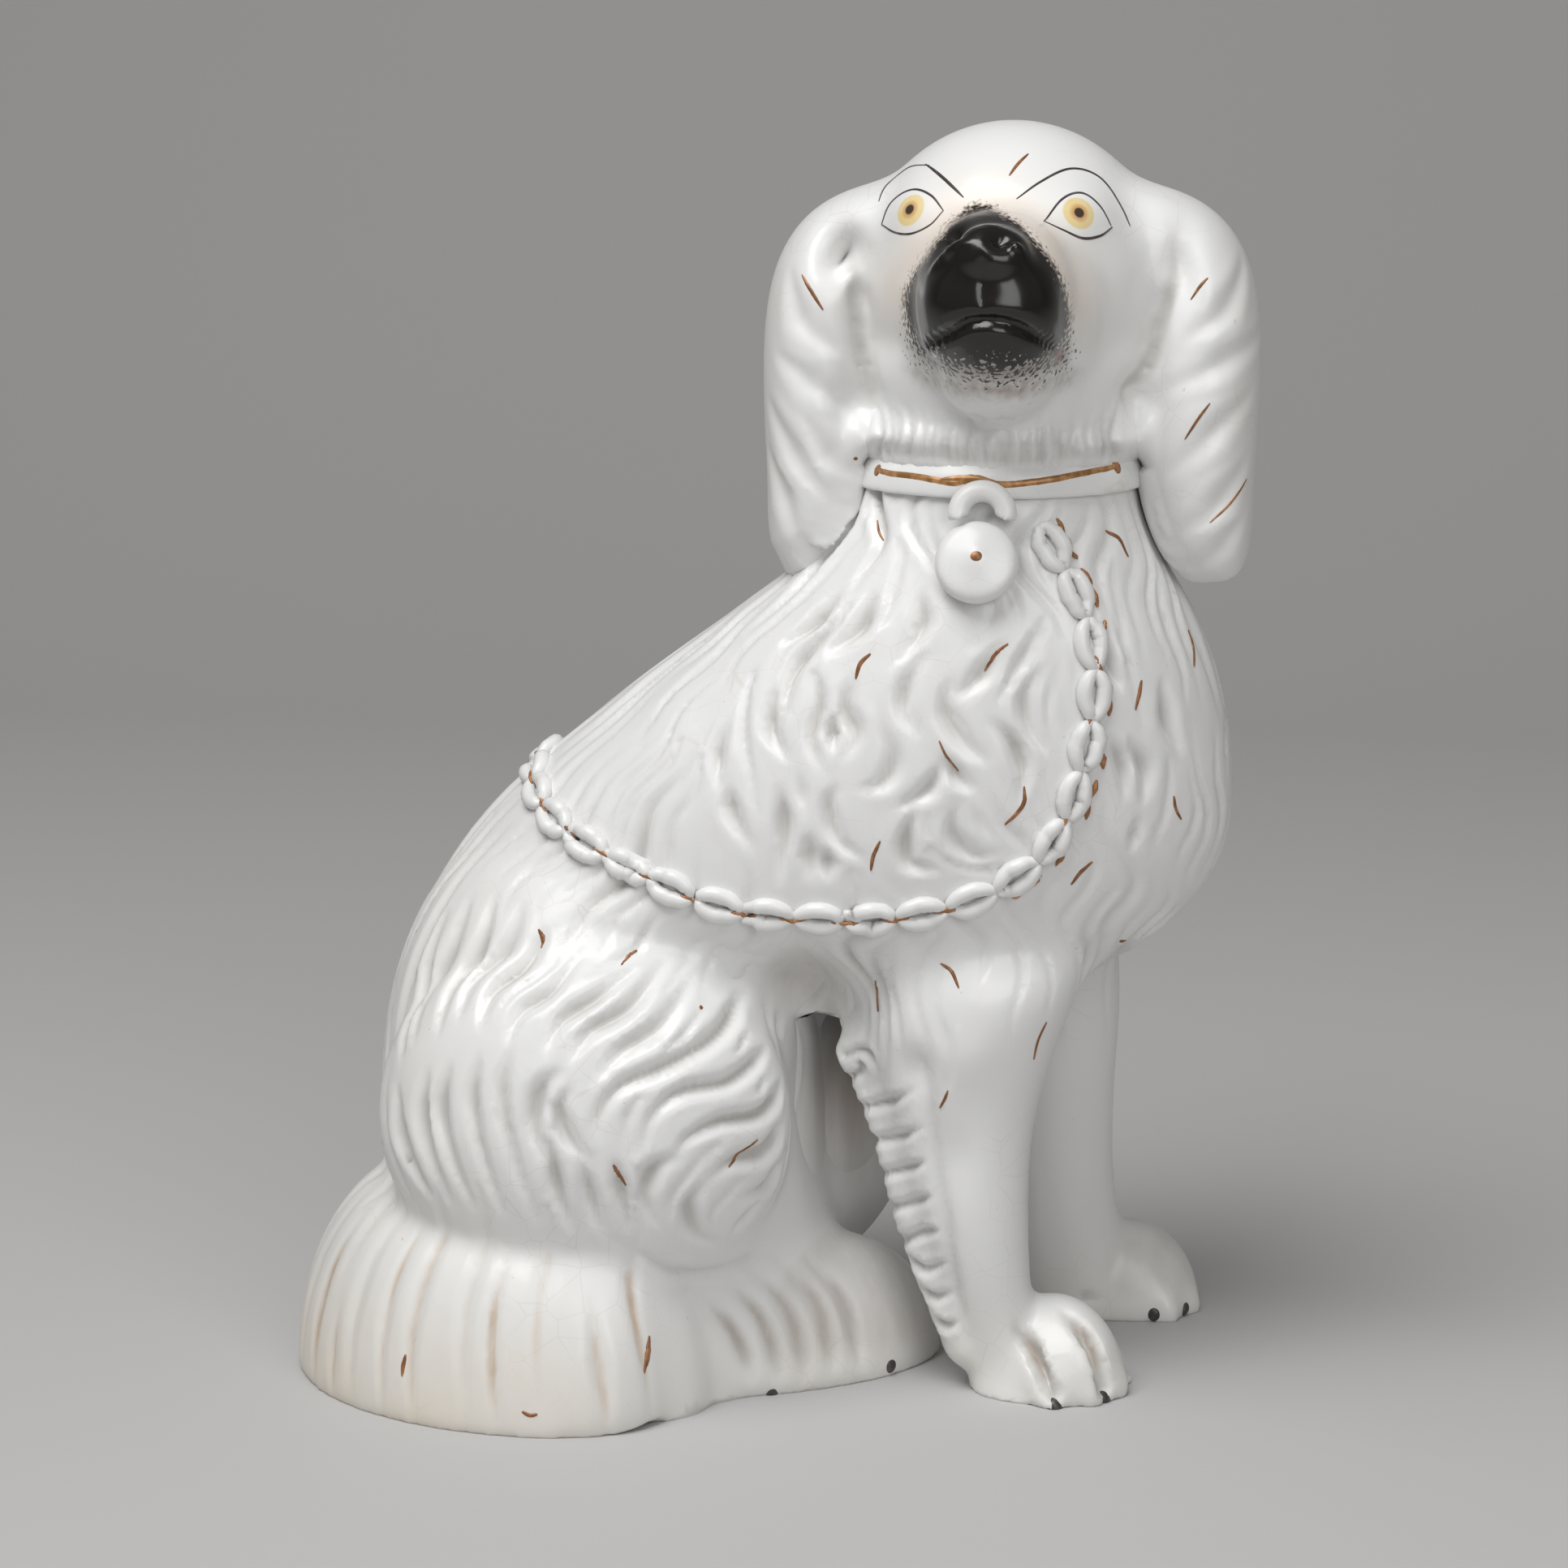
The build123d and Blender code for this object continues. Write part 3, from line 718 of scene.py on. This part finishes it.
def face_paint(sheet, place, value_of, colour, fine):
    """Enamels of the face: peach shadows, sponged muzzle, irises and pupils."""
    def within(middle, radius, soft):
        gap = sheet.node("ShaderNodeVectorMath", "Value", {0: place, 1: tuple(np.asarray(middle) * MM)},
                         operation="DISTANCE")
        return 1 - gap.ramp((radius - soft) * MM, (radius + soft) * MM)

    colour = (value_of("peach") * 0.4).paint(colour, peach)
    colour = (value_of("chin") * (0.3 + fine)).ramp(0.1, 1.0).paint(colour, chin_brown)
    sponge = sheet.node("ShaderNodeTexNoise", "Fac", {"Vector": place, "Scale": 850.0, "Detail": 1.0})
    inside = value_of("muzzle")
    height = sheet.node("ShaderNodeSeparateXYZ", "Z", {"Vector": place})
    sparse = 1 - height.ramp(0.272, 0.2835)
    loose = 4.5 + 19.0 * sparse
    black = sheet.maths("MINIMUM", inside, 4.5) + (sponge - 0.46) * loose - 3.2 * sparse
    colour = (inside.ramp(-2.0, 2.0) * sparse * 0.7).paint(colour, muzzle_brown)
    colour = (black.ramp(-1.4, 0.2) * 0.8).paint(colour, muzzle_brown)
    colour = black.ramp(-0.3, 0.7).paint(colour, muzzle_black)
    for middle in eye_places:
        colour = (within(middle, iris_radius, 0.3) * (0.6 + 0.5 * fine)).paint(colour, iris_yellow)
        colour = (within(middle, ring_radius, 0.7) * 0.7).paint(colour, iris_orange)
        colour = within(middle, pupil_radius, 0.25).paint(colour, pupil_brown)
    return (within(seen(head, 791, 580), 2.3, 0.8) * 0.8).paint(colour, dab_red)


finish(head.write(), glaze("face_glaze", face_paint), "white_glaze", *head_nodes)


# Brush lines over the glaze: thin black outlines of the eyes and brows, and short gilt-brown flecks
# that stand for hair all over the coat. Each stroke is a drop of enamel a fraction of a millimetre high.
def enamel(name, colour, roughness, metal):
    """Fired enamel or worn gilding, with a slightly broken tone."""
    material = bpy.data.materials.new(name)
    material.use_nodes = True
    shader = material.node_tree.nodes["Principled BSDF"]
    sheet = Value(material.node_tree)
    place = sheet.node("ShaderNodeTexCoord", "Object", {})
    broken = sheet.node("ShaderNodeTexNoise", "Fac", {"Vector": place, "Scale": 350.0, "Detail": 3.0})
    pale = tuple(min(1, 1.9 * tone + 0.03) for tone in colour[:3]) + (1,)
    material.node_tree.links.new(broken.ramp(0.4, 0.75).paint(colour, pale).socket, shader.inputs["Base Color"])
    shader.inputs["Roughness"].default_value = roughness
    shader.inputs["Metallic"].default_value = metal
    return material


def tubes(name, runs, closed=False):
    """Round rods along lines, each line with its thickness at every point, as one mesh."""
    curve = bpy.data.curves.new(name, "CURVE")
    curve.dimensions = "3D"
    curve.bevel_depth = MM
    curve.bevel_resolution = 3
    curve.use_fill_caps = True
    for line, radii in runs:
        spline = curve.splines.new("POLY")
        spline.points.add(len(line) - 1)
        spline.use_cyclic_u = closed
        for point, place, radius in zip(spline.points, line, radii):
            point.co = (*(np.asarray(place) * MM), 1)
            point.radius = radius
    rod = bpy.data.objects.new(name, curve)
    bpy.context.collection.objects.link(rod)
    mesh = bpy.data.meshes.new_from_object(rod.evaluated_get(bpy.context.evaluated_depsgraph_get()))
    bpy.data.objects.remove(rod)
    piece = bpy.data.objects.new(name, mesh)
    bpy.context.collection.objects.link(piece)
    mesh.shade_smooth()
    return piece


def stroke(clay, pixels, width, proud=0.2, blunt=0.5):
    """A brush stroke on a skin: the middle line and thickness of the rod whose top just shows."""
    line = seen_line(clay, pixels, 8 * len(pixels))
    share = np.linspace(0, 1, len(line))
    wide = width * (0.22 + 0.78 * np.sin(math.pi * share) ** blunt)
    radii = ((wide / 2) ** 2 + proud**2) / (2 * proud)
    sunk = [Vector(place) + clay.skin.find_nearest(Vector(place))[1] * (proud - radius)
            for place, radius in zip(line, radii)]
    return np.array(sunk), radii


def dabs(name, spots):
    """Round dabs of enamel on a skin, each a ball that is sunk until only its cap shows."""
    work = bmesh.new()
    for clay, pixel, width, height in spots:
        proud = height * width
        radius = ((width / 2) ** 2 + proud**2) / (2 * proud)
        foot, out, _, _ = clay.skin.find_nearest(Vector(seen(clay, *pixel)))
        place = Matrix.Translation((foot + out * (proud - radius)) * MM)
        bmesh.ops.create_icosphere(work, subdivisions=4, radius=radius * MM, matrix=place)
    for point in work.verts:
        point.co.z = max(point.co.z, 0)
    mesh = bpy.data.meshes.new(name)
    work.to_mesh(mesh)
    work.free()
    mesh.shade_smooth()
    piece = bpy.data.objects.new(name, mesh)
    bpy.context.collection.objects.link(piece)
    return piece


face_lines = [
    ([(628, 463), (637, 442), (655, 431), (672, 436), (684, 450)], 0.75),
    ([(684, 450), (672, 463), (655, 471), (640, 470), (628, 463)], 0.6),
    ([(775, 459), (790, 440), (808, 433), (824, 443), (836, 463)], 0.75),
    ([(775, 459), (791, 466), (810, 474), (826, 472), (837, 464)], 0.8),
    ([(702, 438), (684, 421), (667, 408)], 0.95), ([(670, 409), (650, 412), (634, 425), (625, 442)], 0.55),
    ([(750, 439), (772, 423), (800, 411), (825, 419), (844, 444), (853, 463)], 0.85),
]
black_line = enamel("black_line", (0.05, 0.042, 0.04, 1), 0.35, 0.0)
finish(tubes("face_lines", [stroke(head, pixels, width) for pixels, width in face_lines]), black_line, "white_glaze")

head_flecks = [
    ([(760, 398), (751, 407), (743, 418)], 1.0), ([(556, 509), (564, 523), (576, 541)], 1.0),
    ([(924, 509), (917, 517), (909, 529)], 0.9), ([(928, 622), (918, 636), (906, 655)], 0.8),
    ([(962, 690), (948, 712), (930, 730)], 0.7),
]
coat_flecks = [
    ([(836, 738), (849, 746), (857, 762)], 1.2), ([(750, 842), (739, 851), (729, 867)], 1.0),
    ([(625, 853), (616, 862), (612, 876)], 1.3), ([(871, 873), (869, 887), (866, 900)], 1.2),
    ([(912, 827), (917, 842), (918, 860)], 0.9), ([(902, 977), (904, 988), (909, 998)], 1.0),
    ([(767, 971), (766, 988), (750, 1006)], 1.2), ([(830, 1038), (821, 1046), (811, 1059)], 1.2),
    ([(629, 732), (631, 743), (635, 750)], 0.7), ([(689, 931), (696, 945), (707, 958)], 0.7),
    ([(637, 1023), (631, 1037), (629, 1050)], 1.1), ([(325, 1110), (329, 1118), (328, 1127)], 1.3),
    ([(416, 1127), (408, 1133), (402, 1141)], 0.9), ([(694, 1133), (704, 1140), (711, 1155)], 1.0),
    ([(635, 1150), (637, 1164), (638, 1178)], 0.7), ([(530, 1297), (517, 1307), (504, 1323)], 1.0),
    ([(398, 1324), (404, 1333), (410, 1342)], 1.5), ([(791, 1184), (784, 1200), (780, 1218)], 0.9),
    ([(434, 1479), (433, 1496), (430, 1513)], 1.7), ([(209, 1503), (207, 1513), (206, 1523)], 1.2),
    ([(318, 1552), (325, 1555), (332, 1554)], 1.2), ([(703, 1248), (700, 1256), (696, 1264)], 0.8),
]
gilt_brown = enamel("gilt_brown", (0.22, 0.095, 0.035, 1), 0.35, 0.2)
fleck_rods = [stroke(head, pixels, width) for pixels, width in head_flecks]
fleck_rods += [stroke(body, pixels, width, 0.3) for pixels, width in coat_flecks]
finish(tubes("gilt_flecks", fleck_rods), gilt_brown, "white_glaze")
spots = [(head, (608, 676), 1.1, 0.1), (body, (476, 1178), 1.2, 0.1), (body, (860, 1109), 1.2, 0.1)]
finish(dabs("gilt_spots", spots), gilt_brown, "white_glaze")

claw_spots = [(547, 1529), (590, 1528), (626, 1517), (656, 1500), (806, 1533), (850, 1526), (873, 1508), (893, 1446), (921, 1440)]
finish(dabs("claws", [(body, pixel, 3.5, 0.2) for pixel in claw_spots]), black_line, "white_glaze")


# Collar: a plain strap moulded over the joint of head and body, with one gilt line round its front.
collar = Clay("collar", ["collar"], 0.7)
collar.at[:, :2] += (np.array((56, 11)) - collar.at[:, :2]) * 0.09 * np.clip((collar.at[:, 2:] - 243) / 4, 0, 1)
collar.smooth(24)
collar.settle()
finish(collar.write(), coat_glaze, "white_glaze", "collar")
collar_line = [(626, 685), (640, 689), (666, 692), (696, 697), (712, 695), (745, 698), (785, 693), (828, 684), (848, 679)]
gilt_line = enamel("gilt_line", (0.31, 0.155, 0.055, 1), 0.32, 0.3)
gilt_rods = [stroke(collar, collar_line, 1.8, 0.25, 0.12), stroke(collar, [(686, 694), (716, 693), (742, 698)], 2.3, 0.3)]
finish(tubes("collar_line", gilt_rods), gilt_line, "white_glaze")
finish(dabs("collar_ends", [(collar, (628, 686), 2.6, 0.1), (collar, (845, 680), 3.0, 0.1)]), gilt_brown, "white_glaze")


# Padlock: a rounded case sprigged on the chest with its shackle up against the collar, and a brown dot for
# the keyhole.
lock_radius = 10.8
case = np.array([point.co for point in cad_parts["padlock_case"].data.vertices]) / MM
case_middle = (case.min(0) + case.max(0)) / 2
case_front = case[np.abs(case[:, 2] - case_middle[2]) < 4][:, 1].min()
keyhole_slip = [((case_middle[0], case_front + 2.2, case_middle[2] - 1), (5, 2.2, 7))]
lock = Clay("padlock_case", ["padlock_case"], 0.5, keyhole_slip)
lock.fill(200)
lock_middle = (lock.at.min(0) + lock.at.max(0)) / 2
flat = lock.at[:, [0, 2]] - lock_middle[[0, 2]]
from_middle = np.hypot(*flat.T)
sector = ((np.arctan2(*flat.T) / (2 * math.pi) + 0.5) * 71.99).astype(int)
rim = np.zeros(72)
np.maximum.at(rim, sector, from_middle)
share = from_middle / rim[sector]
lock.at[:, [0, 2]] = lock_middle[[0, 2]] + np.array((-1.2, -0.4)) + flat * (lock_radius / rim[sector])[:, None]
lock.at[:, 1] -= 1.2 * (1 - share**2) * (lock.at[:, 1] < lock_middle[1])
lock.smooth(60)
lock.settle()
finish(lock.write(), coat_glaze, "white_glaze", "padlock_case")
shackle = Clay("padlock_shackle", ["padlock_shackle"], 0.4)
shackle.smooth(4)
shackle.settle()
shackle.relief += 0.6
shackle.press()
finish(shackle.write(), coat_glaze, "white_glaze", "padlock_shackle")
finish(dabs("keyhole_dot", [(lock, (719, 763), 2.1, 0.08)]), gilt_brown, "white_glaze")


# Chain: open links in relief from the padlock round the chest and flank to the back, each a pointed oval
# of two round strands, touched with gilt-brown where it meets the next one.
def separate_lumps(node):
    """The solids of a node, each as its points in millimetres."""
    work = bmesh.new()
    work.from_mesh(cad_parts[node].data)
    bmesh.ops.remove_doubles(work, verts=work.verts, dist=0.001 * MM)
    left = set(work.verts)
    lumps = []
    while left:
        waiting = [left.pop()]
        lump = []
        while waiting:
            point = waiting.pop()
            lump.append(np.array(point.co) / MM)
            for edge in point.link_edges:
                other = edge.other_vert(point)
                if other in left:
                    left.remove(other)
                    waiting.append(other)
        lumps.append(np.array(lump))
    work.free()
    return lumps


link_runs = []
touch_runs = []
strand = 2.15
for lump in separate_lumps("chain_links"):
    middle = (lump.min(0) + lump.max(0)) / 2
    foot, out, _, _ = body.skin.find_nearest(Vector(middle))
    along = np.linalg.svd(lump - lump.mean(0), full_matrices=False)[2][0]
    across = np.cross(np.array(out), along)
    reach = np.abs((lump - middle) @ along).max() - 0.3
    turn = np.linspace(0, 2 * math.pi, 36, endpoint=False)
    swell = np.abs(np.sin(turn))
    flat = np.outer(reach * np.cos(turn), along) + np.outer(2.75 * np.sin(turn) * swell**0.2, across)
    ring = []
    for offset in flat:
        foot, out, _, _ = body.skin.find_nearest(Vector(middle + offset))
        ring.append(np.array(foot) + 0.9 * np.array(out))
    link_runs.append((np.array(ring), strand * (0.42 + 0.58 * swell**0.8)))
    upright = middle[0] > 60 and middle[2] > 125
    for end in (-1, 1):
        if upright and rng.random() < 0.8:
            spot = middle + along * (end * 0.5 * reach) + across * (np.sign(across[0]) * 4.9)
            lift, thick = 0.35, 0.8
        elif rng.random() < 0.8:
            spot = middle + along * (end * (reach - 0.4)) + across * rng.uniform(-0.9, 0.9)
            lift, thick = 1.7, 0.6
        else:
            continue
        lean = along + across * rng.uniform(-0.3, 0.3)
        run = []
        for step in np.linspace(-2.4, 2.4, 7):
            foot, out, _, _ = body.skin.find_nearest(Vector(spot + step * lean))
            run.append(np.array(foot + lift * out))
        touch_runs.append((run, thick * np.sin(np.linspace(0.25, math.pi - 0.25, 7))))
chain = tubes("chain_links", link_runs, closed=True)
finish(chain, coat_glaze, "white_glaze", "chain_links")
finish(tubes("chain_touches", touch_runs), enamel("chain_gilt", (0.31, 0.14, 0.055, 1), 0.35, 0.2), "white_glaze")


# Base slab: the plain disc of clay that closes the seat, wiped and left unglazed, with its firing vent.
clay_buff = (0.62, 0.52, 0.40, 1)
clay_dark = (0.45, 0.36, 0.26, 1)
bare = bpy.data.materials.new("bare_clay")
bare.use_nodes = True
sheet = Value(bare.node_tree)
place = sheet.node("ShaderNodeTexCoord", "Object", {})
grit = sheet.node("ShaderNodeTexNoise", "Fac", {"Vector": place, "Scale": 160.0, "Detail": 6.0})
bare.node_tree.links.new(grit.ramp(0.35, 0.7).paint(clay_buff, clay_dark).socket,
                         bare.node_tree.nodes["Principled BSDF"].inputs["Base Color"])
bare.node_tree.nodes["Principled BSDF"].inputs["Roughness"].default_value = 0.85
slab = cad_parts["base_slab"]
slab.data.materials.clear()
slab.data.materials.append(bare)


# Stage: a pale grey sweep of paper that curves up behind the figure.
floor_grey = (0.52, 0.515, 0.51, 1)
sweep_width = 24.0
sweep_points = [(-14.0, 0.0), (1.0, 0.0)]
sweep_points += [(1.0 + 0.8 * math.sin(t), 0.8 - 0.8 * math.cos(t)) for t in np.linspace(0.1, math.pi / 2, 12)]
sweep_points += [(1.8, 4.0)]
work = bmesh.new()
edge = [work.verts.new((-sweep_width / 2, *point)) for point in sweep_points]
rims = [work.edges.new(pair) for pair in zip(edge, edge[1:])]
pulled = bmesh.ops.extrude_edge_only(work, edges=rims)["geom"]
moved = [item for item in pulled if isinstance(item, bmesh.types.BMVert)]
bmesh.ops.translate(work, verts=moved, vec=(sweep_width, 0, 0))
bmesh.ops.recalc_face_normals(work, faces=work.faces)
floor_mesh = bpy.data.meshes.new("floor")
work.to_mesh(floor_mesh)
work.free()
floor_mesh.shade_smooth()
floor = bpy.data.objects.new("floor", floor_mesh)
bpy.context.collection.objects.link(floor)
paper = bpy.data.materials.new("grey_paper")
paper.use_nodes = True
paper.node_tree.nodes["Principled BSDF"].inputs["Base Color"].default_value = floor_grey
paper.node_tree.nodes["Principled BSDF"].inputs["Roughness"].default_value = 0.8
floor.data.materials.append(paper)


# Light: one broad soft box from the upper left, a weaker one from the right, and an even studio.
def soft_box(name, place, size, power):
    lamp = bpy.data.lights.new(name, "AREA")
    lamp.size = size
    lamp.energy = power
    box = bpy.data.objects.new(name, lamp)
    box.location = place
    box.rotation_euler = (Vector((0, 0, 0.16)) - box.location).to_track_quat("-Z", "Y").to_euler()
    bpy.context.collection.objects.link(box)


soft_box("key", (-0.4, -0.75, 1.75), 1.2, 28.5)
soft_box("fill", (0.75, -1.4, 0.85), 0.9, 7.0)
studio = bpy.data.worlds.new("studio")
studio.use_nodes = True
studio.node_tree.nodes["Background"].inputs["Color"].default_value = (1.0, 0.985, 0.965, 1)
studio.node_tree.nodes["Background"].inputs["Strength"].default_value = 0.155
bpy.context.scene.world = studio


# Camera: where the photographer stood, turned to this figure alone and with a longer lens.
view_aim = np.array((0.0, 0.0, 158.0))
view = bpy.data.cameras.new("view")
view.sensor_width = 36
view.lens = 1.36 * view.sensor_width * photo_zoom / (2 * photo_middle)
eye = bpy.data.objects.new("view", view)
eye.location = photo_eye * MM
eye.rotation_euler = Vector(view_aim - photo_eye).to_track_quat("-Z", "Y").to_euler()
bpy.context.collection.objects.link(eye)
bpy.context.scene.camera = eye
bpy.context.scene.view_settings.view_transform = "Standard"
